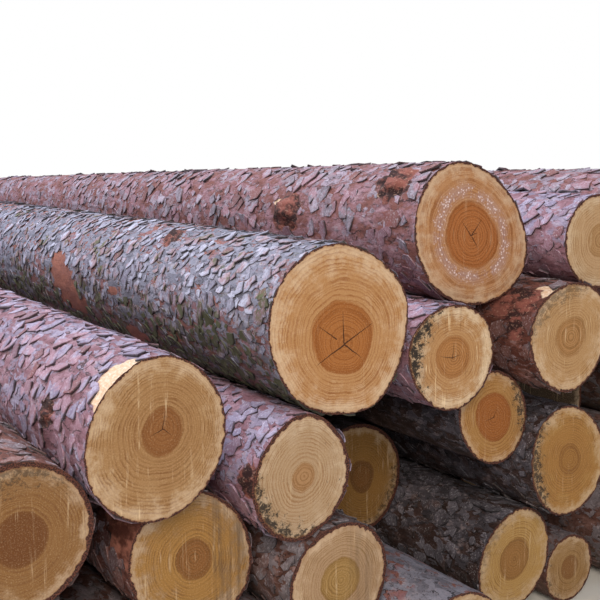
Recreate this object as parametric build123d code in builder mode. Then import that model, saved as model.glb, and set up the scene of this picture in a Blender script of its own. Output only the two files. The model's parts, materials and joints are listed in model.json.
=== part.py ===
# Stack of round pine logs, sawn to length and piled loose on level ground.
# Millimetres. X runs across the pile, Y runs along the logs with the sawn
# faces of the photo towards -Y, and Z is up.
import os
from functools import lru_cache
from math import atan2, cos, exp, hypot, pi, radians, sin, sqrt
from typing import NamedTuple

from build123d import *

os.makedirs("parts", exist_ok=True)

# Main sizes
LARGEST_FACE = 294.0
STOCK_LENGTH = 4000.0
REST_GAP = 0.3
PLAIN_OVAL = 0.02
SWELL_REACH = 420.0
OUTLINE_POINTS = 16
SECTIONS = (400.0, 2000.0)
OVAL_SECTIONS = (2000.0,)
KNOT_SECTIONS = (2000.0, 3000.0)
KNOT_MARGIN = 80.0
END_MARGIN = 20.0


# Bulges of a log that is a plain oval, longest in the given direction
def oval(direction):
    return ((2, PLAIN_OVAL, direction),)


# One log: its two end diameters in hundredths of the largest face, where it
# lies, and its bulges (how many, share of the radius, direction of one).
# It rests on two others, or lies on the ground with a clear space, at the face
# plane and at the rear, between it and the log beside it on the left; spaces
# are hundredths of the largest face too.
class Log(NamedTuple):
    face: float
    rear: float
    on: tuple = ()
    beside: str = ""
    space: tuple = ()
    proud: float = 0.0
    longer: float = 0.0
    bulges: tuple = ()
    swell: float = 0.0
    saw_yaw: float = 0.0
    saw_tilt: float = 0.0
    knots: tuple = ()


# One branch stub: distance behind the face plane, direction round the log
# (degrees, 90 is up), diameter and how far it stands out of the bark.
class Knot(NamedTuple):
    along: float
    around: float
    diameter: float
    height: float


LOGS = {
    # Bottom row, lying on the ground from left to right
    "bottom_row_log_1": Log(66.0, 70.3, beside="", space=(13.0, 5.8), proud=-40, longer=60, bulges=oval(20)),
    "bottom_row_log_2": Log(
        60.2, 63.9, beside="bottom_row_log_1", space=(1.9, 2.3),
        proud=-10, longer=-30, bulges=oval(95),
    ),
    "bottom_row_log_3": Log(
        72.3, 74.1, beside="bottom_row_log_2", space=(22.7, 15.7),
        proud=-30, longer=40, bulges=oval(10),
    ),
    "bottom_row_log_4": Log(
        64.7, 65.5, beside="bottom_row_log_3", space=(0.5, 1.0),
        proud=-20, longer=10, bulges=oval(60),
    ),
    "bottom_row_log_5": Log(
        72.1, 74.8, beside="bottom_row_log_4", space=(41.3, 39.6),
        proud=157, longer=20, bulges=oval(120),
    ),
    "bottom_front_log": Log(
        44.6, 44.7, beside="bottom_row_log_5", space=(0.5, 1.2),
        proud=-1000, longer=-900, bulges=oval(45),
    ),
    "bottom_right_log": Log(
        50.6, 54.2, beside="bottom_front_log", space=(62.2, 67.7),
        proud=-53, longer=30, bulges=oval(80),
    ),
    "bottom_row_log_8": Log(
        72.5, 74.6, beside="bottom_right_log", space=(15.6, 8.8),
        proud=-60, longer=0, bulges=oval(30),
    ),
    "bottom_row_log_9": Log(
        95.2, 97.9, beside="bottom_row_log_8", space=(1.0, 1.5),
        proud=-60, longer=50, bulges=oval(100),
    ),
    "bottom_row_log_10": Log(
        96.7, 101.2, beside="bottom_row_log_9", space=(0.5, 0.5),
        proud=-30, longer=-40, bulges=oval(0),
    ),
    # Second row
    "second_row_log_1": Log(
        67.3, 71.8, on=("bottom_row_log_1", "bottom_row_log_2"),
        proud=-20, bulges=oval(150),
    ),
    "second_row_log_2": Log(
        52.0, 55.4, on=("bottom_row_log_2", "bottom_row_log_3"),
        proud=-400, longer=-300, bulges=oval(40),
    ),
    "lower_front_log": Log(
        78.4, 81.1, on=("bottom_row_log_3", "bottom_row_log_4"), proud=-36, longer=-20,
        bulges=((2, 0.046, -57), (3, 0.009, -40)), saw_yaw=-0.7, saw_tilt=-1.7,
    ),
    "lower_middle_log": Log(
        70.0, 70.8, on=("bottom_row_log_4", "bottom_row_log_5"), proud=36, longer=30,
        bulges=((2, 0.02, 60), (3, 0.013, 48)),
    ),
    "recessed_log": Log(
        78.9, 77.8, on=("bottom_row_log_5", "bottom_front_log"), proud=-352, longer=-300,
        bulges=((2, 0.06, -75), (3, 0.03, 26)), saw_yaw=2.0, saw_tilt=-3.0,
    ),
    "skewed_right_log": Log(
        71.2, 75.7, on=("bottom_front_log", "bottom_right_log"), proud=-51, longer=-60,
        bulges=((2, 0.06, 68), (3, 0.013, -51)), saw_yaw=5.9, saw_tilt=1.5,
    ),
    "second_row_log_7": Log(
        59.2, 61.0, on=("bottom_right_log", "bottom_row_log_8"),
        proud=-400, longer=-350, bulges=oval(20),
    ),
    "second_row_log_8": Log(
        93.3, 95.2, on=("bottom_row_log_8", "bottom_row_log_9"),
        proud=-400, longer=-300, bulges=oval(130),
    ),
    "second_row_log_9": Log(
        97.7, 101.3, on=("bottom_row_log_9", "bottom_row_log_10"),
        proud=-70, bulges=oval(50),
    ),
    # Third row
    "lower_left_log": Log(
        78.2, 82.5, on=("second_row_log_1", "second_row_log_2"), proud=6, longer=-50,
        bulges=((2, 0.03, 60), (3, 0.012, 2)), saw_yaw=-1.5,
    ),
    "middle_log": Log(
        69.3, 72.8, on=("lower_front_log", "lower_middle_log"), proud=30, longer=10,
        bulges=((2, 0.071, 77), (3, 0.012, -25), (4, 0.014, -1)), saw_yaw=2.6,
    ),
    "inner_log": Log(
        79.5, 80.3, on=("lower_middle_log", "recessed_log"),
        proud=-850, longer=-900, bulges=oval(70),
    ),
    "right_middle_log": Log(
        75.4, 79.3, on=("skewed_right_log", "second_row_log_7"), proud=12, longer=40,
        bulges=((2, 0.043, -72), (3, 0.015, -2)), saw_yaw=1.0, saw_tilt=-1.5,
    ),
    "third_row_log_5": Log(
        97.8, 98.0, on=("second_row_log_8", "second_row_log_9"),
        proud=-50, bulges=oval(10),
    ),
    # Fourth row
    "left_front_log": Log(
        83.7, 89.0, on=("lower_left_log", "lower_front_log"), proud=29, longer=20,
        bulges=((2, 0.056, 74), (3, 0.008, -32), (4, 0.009, 7)), saw_yaw=1.7,
    ),
    "small_inner_log": Log(
        62.8, 63.8, on=("recessed_log", "right_middle_log"), proud=-22,
        bulges=((2, 0.05, -59), (3, 0.015, 33)), saw_tilt=-2.8,
    ),
    "fourth_row_log_3": Log(
        90.1, 92.9, on=("right_middle_log", "second_row_log_8"),
        proud=-500, longer=-400, bulges=oval(60),
    ),
    # Upper logs
    "upper_inner_log": Log(
        68.8, 69.6, on=("inner_log", "small_inner_log"), proud=18, longer=-10,
        bulges=((2, 0.021, -18), (3, 0.024, 36), (4, 0.006, -9)), saw_yaw=-1.1,
    ),
    "upper_right_log": Log(
        73.2, 75.1, on=("small_inner_log", "fourth_row_log_3"), proud=60, longer=20,
        bulges=((2, 0.015, 48), (3, 0.031, 36)), saw_tilt=0.7,
    ),
    "big_middle_log": Log(
        100.0, 105.4, on=("middle_log", "upper_inner_log"), proud=10, longer=30,
        bulges=((2, 0.027, -60), (3, 0.011, 40), (4, 0.014, 25), (5, 0.012, 20)), saw_yaw=-1.2, saw_tilt=-0.8,
        knots=(Knot(470, 122, 46, 7),),
    ),
    "top_log": Log(
        95.4, 74.5, on=("upper_inner_log", "upper_right_log"), proud=-40, longer=-30,
        bulges=((2, 0.066, -36), (3, 0.031, -17)), saw_yaw=-1.2, saw_tilt=-3.1,
        knots=(Knot(493, 168, 62, 13), Knot(140, 138, 66, 12)),
    ),
    "back_top_log": Log(100.0, 82.0, on=("fourth_row_log_3", "third_row_log_5"), proud=-70, bulges=oval(90)),
    "far_right_top_log": Log(
        65.7, 77.0, on=("upper_right_log", "back_top_log"), proud=32, longer=-20,
        bulges=((2, 0.02, -27), (3, 0.01, -59)),
    ),
}


# Mean radius at a distance y behind the face plane of the pile
def radius(log, y):
    even = LARGEST_FACE / 100 * (log.face + (log.rear - log.face) * y / STOCK_LENGTH)
    return even / 2 * (1 + log.swell * exp(-y / SWELL_REACH))


# Half-width of the outline in a direction, given in radians
def half_width(log, y, a):
    uneven = sum(share * cos(n * (a - radians(at))) for n, share, at in log.bulges)
    return radius(log, y) * (1 + uneven)


# Point of the outline whose outward direction is a, measured from the heart
def outline_point(log, y, a):
    step = 0.001
    h = half_width(log, y, a)
    slope = (half_width(log, y, a + step) - half_width(log, y, a - step)) / (2 * step)
    return (h * cos(a) - slope * sin(a), h * sin(a) + slope * cos(a))


# Directions of points evenly spaced along the outline
def even_directions(log):
    found = []
    for k in range(OUTLINE_POINTS):
        way = a = 2 * pi * k / OUTLINE_POINTS
        for _ in range(40):
            a = way + sum(
                share * (n * n - 1) / n * (sin(n * (a - radians(at))) + sin(n * radians(at)))
                for n, share, at in log.bulges
            )
        found.append(a)
    return found


# Direction in which two outlines come closest, and the room they need there
def closest(log, other, y, dx, dz):
    def apart(a):
        return dx * cos(a) + dz * sin(a) - half_width(other, y, a) - half_width(log, y, a + pi)

    best = atan2(dz, dx)
    for reach in (0.25, 0.05, 0.01, 0.002):
        best = max((best + reach * k / 5 for k in range(-5, 6)), key=apart)
    return best, half_width(other, y, best) + half_width(log, y, best + pi) + REST_GAP


# Heart of a log lying on the ground, beside the one on its left
def heart_on_ground(log, y):
    at_face, at_rear = log.space
    space = LARGEST_FACE / 100 * (at_face + (at_rear - at_face) * y / STOCK_LENGTH)
    z = half_width(log, y, -pi / 2)
    if not log.beside:
        return space + radius(log, y), z
    other = LOGS[log.beside]
    xl, zl = heart(log.beside, y)
    x = xl + radius(other, y) + radius(log, y) + space
    for _ in range(6):
        a, needed = closest(log, other, y, x - xl, z - zl)
        found = (x - xl) * cos(a) + (z - zl) * sin(a) - needed + REST_GAP
        x += (space - found) / cos(a)
    return x, z


# Heart of a log at a distance y: on the ground, or resting on the two below
@lru_cache(maxsize=None)
def heart(name, y):
    log = LOGS[name]
    if not log.on:
        return heart_on_ground(log, y)
    left, right = log.on
    (xl, zl), (xr, zr) = heart(left, y), heart(right, y)
    rl = radius(log, y) + radius(LOGS[left], y)
    rr = radius(log, y) + radius(LOGS[right], y)
    span = hypot(xr - xl, zr - zl)
    along = (rl * rl - rr * rr + span * span) / (2 * span)
    rise = sqrt(max(rl * rl - along * along, 1.0))
    ux, uz = (xr - xl) / span, (zr - zl) / span
    x, z = xl + along * ux - rise * uz, zl + along * uz + rise * ux
    for _ in range(8):
        al, dl = closest(log, LOGS[left], y, x - xl, z - zl)
        ar, dr = closest(log, LOGS[right], y, x - xr, z - zr)
        bl = xl * cos(al) + zl * sin(al) + dl
        br = xr * cos(ar) + zr * sin(ar) + dr
        det = cos(al) * sin(ar) - sin(al) * cos(ar)
        x, z = (bl * sin(ar) - br * sin(al)) / det, (br * cos(al) - bl * cos(ar)) / det
    return x, z


# Plane across a log at a distance y, turned by the saw's yaw and tilt
def across(name, y, tilt=0.0, yaw=0.0):
    x, z = heart(name, y)
    return Plane(origin=(x, y, z), x_dir=(1, 0, 0), z_dir=(0, -1, 0)).rotated((tilt, yaw, 0))


# Closed outline of a log in a plane across it
def outline(name, y, plane):
    x, z = heart(name, y)
    lean = plane.z_dir
    points = []
    for a in even_directions(LOGS[name]):
        px, pz = outline_point(LOGS[name], y, a)
        py = -(px * lean.X + pz * lean.Z) / lean.Y
        points.append(plane.to_local_coords(Vector(x + px, y + py, z + pz)))
    marks = [k / OUTLINE_POINTS for k in range(OUTLINE_POINTS + 1)]
    return Edge.make_spline(points, periodic=True, parameters=marks)


# Place deep under the bark where a branch stub starts, looking outwards
def knot_plane(name, knot, depth):
    x, z = heart(name, knot.along)
    a = radians(knot.around)
    px, pz = outline_point(LOGS[name], knot.along, a)
    origin = (x + px - depth * cos(a), knot.along, z + pz - depth * sin(a))
    return Plane(origin=origin, x_dir=(0, 1, 0), z_dir=(cos(a), 0, sin(a)))


def build(name):
    log = LOGS[name]
    face_y = -log.proud
    rear_y = face_y + STOCK_LENGTH + log.longer
    face_plane = across(name, face_y, log.saw_tilt, log.saw_yaw)
    stations = list(SECTIONS if len(log.bulges) > 1 else OVAL_SECTIONS)
    if log.knots:
        stations = list(KNOT_SECTIONS)
    for knot in log.knots:
        stations += [knot.along - KNOT_MARGIN, knot.along + KNOT_MARGIN]
    stations = sorted(y for y in stations if y > face_y + END_MARGIN)
    cuts = [(face_y, face_plane)] + [(y, across(name, y)) for y in stations]
    cuts.append((rear_y, across(name, rear_y)))
    with BuildPart() as body:
        # Stem, from the sawn face to the sawn rear end
        for y, plane in cuts:
            with BuildSketch(plane):
                with BuildLine():
                    add(outline(name, y, plane))
                make_face()
        loft(ruled=True)
        # Branch stubs
        for knot in log.knots:
            depth = 0.2 * LARGEST_FACE
            with BuildSketch(knot_plane(name, knot, depth)):
                Circle(knot.diameter / 2)
            extrude(amount=depth + knot.height, taper=4)
    return body.part


logs = {name: build(name) for name in LOGS}

# The origin is the middle of the pile's footprint, on the ground
boxes = [solid.bounding_box() for solid in logs.values()]
low_x, high_x = min(b.min.X for b in boxes), max(b.max.X for b in boxes)
low_y, high_y = min(b.min.Y for b in boxes), max(b.max.Y for b in boxes)
to_origin = Pos(-(low_x + high_x) / 2, -(low_y + high_y) / 2, 0)
for name, solid in logs.items():
    placed = to_origin * solid
    placed.label = name
    export_step(placed, f"parts/{name}.step")
print("moved by", -(low_x + high_x) / 2, -(low_y + high_y) / 2)
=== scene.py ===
"""Looks of the stack of pine logs: bark in relief, loose bark plates and sawn faces."""

import json
import math

import bpy
import numpy as np
from mathutils import Euler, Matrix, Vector
from mathutils.bvhtree import BVHTree

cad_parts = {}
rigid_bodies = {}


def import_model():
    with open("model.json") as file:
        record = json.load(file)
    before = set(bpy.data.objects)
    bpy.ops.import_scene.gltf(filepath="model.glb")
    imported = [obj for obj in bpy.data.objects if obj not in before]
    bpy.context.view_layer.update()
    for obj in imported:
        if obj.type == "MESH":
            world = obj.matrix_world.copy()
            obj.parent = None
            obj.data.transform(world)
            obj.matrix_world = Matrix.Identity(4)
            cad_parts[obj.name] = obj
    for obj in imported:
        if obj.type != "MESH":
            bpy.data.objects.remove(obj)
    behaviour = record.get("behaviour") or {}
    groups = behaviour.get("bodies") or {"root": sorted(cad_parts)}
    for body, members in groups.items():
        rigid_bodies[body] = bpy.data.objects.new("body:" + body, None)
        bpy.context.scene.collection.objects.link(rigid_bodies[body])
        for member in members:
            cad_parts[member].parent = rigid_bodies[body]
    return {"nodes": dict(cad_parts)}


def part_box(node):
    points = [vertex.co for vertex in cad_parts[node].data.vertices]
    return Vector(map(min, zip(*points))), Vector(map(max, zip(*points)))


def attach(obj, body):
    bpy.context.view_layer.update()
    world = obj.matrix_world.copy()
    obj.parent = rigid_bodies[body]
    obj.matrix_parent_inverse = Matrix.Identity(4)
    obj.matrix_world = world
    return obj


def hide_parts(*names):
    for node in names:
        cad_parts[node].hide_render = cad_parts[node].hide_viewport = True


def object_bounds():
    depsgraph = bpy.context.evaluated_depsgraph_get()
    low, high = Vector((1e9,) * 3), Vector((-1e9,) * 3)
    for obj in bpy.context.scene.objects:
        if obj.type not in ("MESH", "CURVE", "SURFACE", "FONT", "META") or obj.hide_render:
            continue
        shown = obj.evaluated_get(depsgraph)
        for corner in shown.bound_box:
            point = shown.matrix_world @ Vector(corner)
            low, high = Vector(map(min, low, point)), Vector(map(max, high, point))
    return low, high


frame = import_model()
cad_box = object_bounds()

# Metres and radians, unless a name says otherwise
MM = 0.001
SEED = 7

# How a log of the CAD is measured
END_SLICE = 0.08
PLANE_STEP = 0.03
START_OUTSIDE = 0.1
RAY_LENGTH = 0.6
STATION_ANGLES = 72
STATIONS = (0.06, 0.25, 0.45, 0.7, 1.2, 2.0, 2.9, 3.85)
LAST_STATION = 0.1

# How its visible stem is laid out
PHOTO_SIDE = math.radians(160)
FACE_RINGS = (0.0, 0.2, 0.4, 0.6, 0.78, 0.9, 0.96, 1.0)
BARK_SINK = 1.92 * MM
BARK_BELOW_CAD = 0.1 * MM
WARP_WIDTH = 26 * MM
WARP_LENGTH = 0.03
POINT_VALUES = ("height", "tone", "underside", "knot", "peeled", "bare", "scaly", "rim", "share")

# Loose bark plates
FLAKE_SHAPES = 8
FLAKE_CORNERS = 8
FLAKE_FOOT = -0.05
FLAKE_CENTRE = 0.018
FLAKES_PER_SPACING = 1.6
FLAKE_IN_BOX = 0.2 * MM
FLAKE_IN_CUT = 0.3 * MM

# Camera of the photo, in the row's frame
CAMERA_PLACE = (-1.25985, -3.35357, 0.91932)
CAMERA_YAW_DEG = 32.3
CAMERA_PITCH_DEG = 7.3
CAMERA_LENS_MM = 60.0
CAMERA_SENSOR_MM = 36.0

# Colours that every finish shares, as sRGB hex
PALE_FLECK, LIT_EDGE, CHALK = "#d2bcc0", "#cdbcc2", "#e4dfe6"
LICHEN, PLATE_LICHEN, UNDERSIDE_PAINTED_SHADE = "#565b34", "#4f5531", "#3d372f"
BAST, RIM_BAST = "#a46a5a", "#8a5a32"
BARE_SHADE, BARE_LIGHT = "#deb896", "#f0dac4"
TORN_DARK, TORN_RED, TORN_PALE = "#2c1414", "#8a5248", "#cfa592"
BLEACHED, FIBRE_LIGHT, FIBRE_DARK = "#cdb79e", "#e2c7a0", "#70451f"
SAW_LIGHT, SAW_DARK, SAW_STAIN = "#dfc6a2", "#6f4826", "#4e3d30"
RESIN_GLAZE, RESIN_BEAD = "#98828a", "#e6d6da"
MOULD_VEIL, MOULD_SPECK = "#6e5c4a", "#2c2520"
CRACK_SHADE, CRUMB_DARK, CRUMB_RED = "#33190d", "#1f1210", "#6a3f33"


# sRGB hex to the linear colour that a socket takes
def linear(colour):
    parts = [int(colour[i : i + 2], 16) / 255 for i in (1, 3, 5)]
    return tuple(p / 12.92 if p <= 0.04045 else ((p + 0.055) / 1.055) ** 2.4 for p in parts) + (1.0,)


class Recipe:
    """The nodes of one tree; a step gives the socket that the next one uses."""

    def __init__(self, tree):
        self.tree = tree

    # Links or sets one input
    def put(self, socket, value):
        if isinstance(value, bpy.types.NodeSocket):
            self.tree.links.new(value, socket)
        else:
            socket.default_value = value

    # Adds one node with its settings and inputs
    def add(self, kind, settings=None, inputs=None):
        made = self.tree.nodes.new(kind)
        for name, value in (settings or {}).items():
            setattr(made, name, value)
        for key, value in (inputs or {}).items():
            self.put(made.inputs[key], value)
        return made

    def calc(self, operation, *values, clamp=False):
        settings = {"operation": operation, "use_clamp": clamp}
        return self.add("ShaderNodeMath", settings, dict(enumerate(values))).outputs[0]

    def times(self, value, factor):
        return self.calc("MULTIPLY", value, factor)

    def minus(self, value, other):
        return self.calc("SUBTRACT", value, other)

    # Sum: the first value as it is, the others each times a factor
    def total(self, first, *others):
        for value, factor in others:
            first = self.calc("MULTIPLY_ADD", value, factor, first)
        return first

    # 0 up to low, 1 from high on, smooth between
    def fade(self, value, low, high):
        inputs = {"Value": value, "From Min": low, "From Max": high}
        return self.add("ShaderNodeMapRange", {"interpolation_type": "SMOOTHSTEP"}, inputs).outputs[0]

    # 1 up to low, 0 from high on
    def fade_out(self, value, low, high):
        return self.minus(1.0, self.fade(value, low, high))

    def vector(self, operation, *values, out=0):
        return self.add("ShaderNodeVectorMath", {"operation": operation}, dict(enumerate(values))).outputs[out]

    def mapped(self, place, **inputs):
        return self.add("ShaderNodeMapping", inputs={"Vector": place, **inputs}).outputs[0]

    def noise(self, place, scale, detail, roughness=0.5):
        inputs = {"Vector": place, "Scale": scale, "Detail": detail, "Roughness": roughness}
        return self.add("ShaderNodeTexNoise", inputs=inputs).outputs["Fac"]

    def cells(self, place, scale):
        return self.add("ShaderNodeTexVoronoi", inputs={"Vector": place, "Scale": scale}).outputs

    def read(self, name):
        return self.add("ShaderNodeAttribute", {"attribute_name": name}).outputs["Fac"]

    def channels(self, colour):
        return self.add("ShaderNodeSeparateColor", inputs={0: colour}).outputs

    def axes(self, vector):
        return self.add("ShaderNodeSeparateXYZ", inputs={0: vector}).outputs

    # Mixes two colours, each a socket or an sRGB hex
    def blend(self, share, below, above):
        sides = [linear(side) if isinstance(side, str) else side for side in (below, above)]
        return self.add("ShaderNodeMix", {"data_type": "RGBA"}, {0: share, 6: sides[0], 7: sides[1]}).outputs[2]

    def finish(self, shader, colour, roughness, gloss, relief, strength, depth):
        bump = self.add("ShaderNodeBump", inputs={"Strength": strength, "Distance": depth, "Height": relief})
        inputs = {"Base Color": colour, "Roughness": roughness, "Specular IOR Level": gloss, "Normal": bump.outputs[0]}
        for key, value in inputs.items():
            self.put(shader.inputs[key], value)


def new_material(name):
    material = bpy.data.materials.new(name)
    material.use_nodes = True
    material.node_tree.nodes.clear()
    made = Recipe(material.node_tree)
    shader = made.add("ShaderNodeBsdfPrincipled")
    made.add("ShaderNodeOutputMaterial", inputs={"Surface": shader.outputs[0]})
    return material, made, shader


# Bark of Scots pine, dry and weathered: brittle plates and papery flakes.
# The eye gets slate-grey scales, torn on one side, over pink and rust layers. Painted shadow lines and painted
# highlights run along the scale edges, and painted shade lies in the hollows and, on lichen-grown bark, on the
# underside.
def bark(name, scale, scale_shade, layer, rust, crack_and_shadow, lichen=0.0, grey=0.5, flake_mm=15.0, seed=0.0):
    material, made, shader = new_material(name)
    place = made.add("ShaderNodeTexCoord").outputs["Object"]
    moved = made.mapped(place, Location=(seed, seed * 0.7, 0), Rotation=(0.0, 0.35, 0.2), Scale=(1, 0.55, 1))
    height, tone, underside = (made.read(key) for key in ("height", "tone", "underside"))
    # Torn outlines: the pattern's own coordinates are pushed about first
    push = made.noise(moved, 75.0, 4.0, 0.65).node.outputs["Color"]
    torn = made.vector("MULTIPLY_ADD", push, (0.022, 0.022, 0.022), moved)
    # Two layers of flakes; each flake lies at its own level. Where the one above it is higher, its edge gets a painted
    # shadow line, and where it is the higher one, a painted highlight
    levels, lines = [], []
    for size, reach in ((flake_mm, 0.0024), (flake_mm * 0.45, 0.0012)):
        above = made.vector("ADD", torn, (0.0, reach * 0.4, reach))
        here, over = (made.channels(made.cells(spot, 1 / (size * MM))["Color"]) for spot in (torn, above))
        step = made.minus(over[0], here[0])
        levels.append(here)
        lines.append((made.fade(step, 0.18, 0.5), made.fade(made.times(step, -1.0), 0.2, 0.8)))
    level, small_level = levels[0][0], levels[1][0]
    fine = made.noise(moved, 260.0, 5.0, 0.7)
    middle = made.noise(moved, 38.0, 4.0, 0.65)
    broad = made.noise(moved, 9.0, 3.0, 0.6)
    # Where the grey outer flakes are still on, and where the layers below show
    kept = made.total(
        made.times(broad, 1.1), (level, 0.5), (small_level, 0.28), (tone, 0.22), (middle, 0.5), (underside, -0.25)
    )
    on = made.fade(kept, 1.5 - grey * 0.5, 1.68 - grey * 0.5)
    greys = made.blend(levels[0][1], scale_shade, scale)
    reds = made.blend(made.fade(middle, 0.4, 0.62), rust, layer)
    colour = made.blend(on, reds, greys)
    colour = made.blend(made.times(made.fade(fine, 0.45, 0.75), 0.4), colour, crack_and_shadow)
    colour = made.blend(made.times(made.fade(middle, 0.58, 0.72), 0.3), colour, PALE_FLECK)
    if lichen:
        spots = made.total(made.noise(moved, 24.0, 5.0, 0.75), (underside, 0.15))
        colour = made.blend(made.times(made.fade(spots, 0.62, 0.72), lichen), colour, LICHEN)
        # Painted shade on the underside of the stem
        colour = made.blend(made.times(underside, 0.55), colour, UNDERSIDE_PAINTED_SHADE)
    # Painted highlights on the upper plate edges and painted shadow lines below the raised edges
    for dark_painted_shade, light in lines:
        colour = made.blend(made.times(light, 0.28), colour, LIT_EDGE)
        colour = made.blend(made.times(dark_painted_shade, 0.8), colour, crack_and_shadow)
    # Painted shade: the hollows between the plates get the near-black crack colour
    colour = made.blend(made.times(made.fade_out(height, 0.05, 0.45), 0.75), colour, crack_and_shadow)
    # Smooth rusty bast where flakes have come off, bare wood, and the
    # splintered bark and wood round a branch stub
    bast = made.blend(made.fade(middle, 0.38, 0.62), rust, BAST)
    bast = made.blend(made.times(made.fade(fine, 0.5, 0.7), 0.4), bast, crack_and_shadow)
    wood = made.blend(made.fade(fine, 0.4, 0.65), BARE_SHADE, BARE_LIGHT)
    splinter = made.blend(made.fade(middle, 0.44, 0.6), TORN_DARK, TORN_RED)
    splinter = made.blend(made.times(made.fade(fine, 0.55, 0.66), 0.5), splinter, TORN_PALE)
    for key, low, above in (("peeled", 0.75, bast), ("bare", 0.8, wood), ("knot", 0.75, splinter)):
        ragged = made.total(made.read(key), (middle, 0.8))
        colour = made.blend(made.fade(ragged, low, 0.95), colour, above)
    relief = made.total(level, (small_level, 0.45), (fine, 0.5), (on, 0.4))
    made.finish(shader, colour, 0.8, 0.35, relief, 0.85, 0.003)
    return material


# Beads of dried resin on a glazed part of the sapwood, where `where` is 1
def resin_beads(made, wood, place, where, resin):
    beads = made.cells(place, 210.0)
    wood = made.blend(made.times(where, 0.5 * resin), wood, RESIN_GLAZE)
    bead = made.fade_out(beads["Distance"], 0.15, 0.5)
    lit = made.times(bead, made.fade(made.channels(beads["Color"])[0], 0.2, 0.45))
    return made.blend(made.times(made.times(lit, where), resin), wood, RESIN_BEAD)


# Blue-stain and mould: a veil and dark specks, thickest where `near` is 1
def mould_specks(made, wood, place, near, mould):
    wood = made.blend(made.times(near, 0.3 * mould), wood, MOULD_VEIL)
    blots = made.total(made.noise(place, 75.0, 6.0, 0.85), (near, 0.2))
    return made.blend(made.times(made.fade(blots, 0.61, 0.69), mould), wood, MOULD_SPECK)


# Drying cracks, 1 inside: each turns the face and keeps a thin wedge from the
# pith. A crack is its direction in degrees, then its start and end in mm
def drying_cracks(made, face, cracks, crack_mm):
    opened = 0.0
    for angle, start_mm, end_mm in cracks:
        inputs = {"Vector": face, "Angle": -math.radians(angle)}
        ahead = made.axes(made.add("ShaderNodeVectorRotate", {"rotation_type": "Z_AXIS"}, inputs).outputs[0])
        along, aside = ahead[0], made.calc("ABSOLUTE", made.minus(ahead[1], 0.0004))
        narrowing = made.minus(1.2, made.calc("DIVIDE", along, end_mm * MM))
        width = made.times(narrowing, crack_mm * MM / 2)
        inside = made.fade_out(aside, made.times(width, 0.6), made.times(width, 1.25))
        inside = made.times(inside, made.calc("GREATER_THAN", along, start_mm * MM))
        inside = made.times(inside, made.calc("LESS_THAN", along, end_mm * MM))
        opened = made.calc("MAXIMUM", opened, inside)
    return opened


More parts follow.
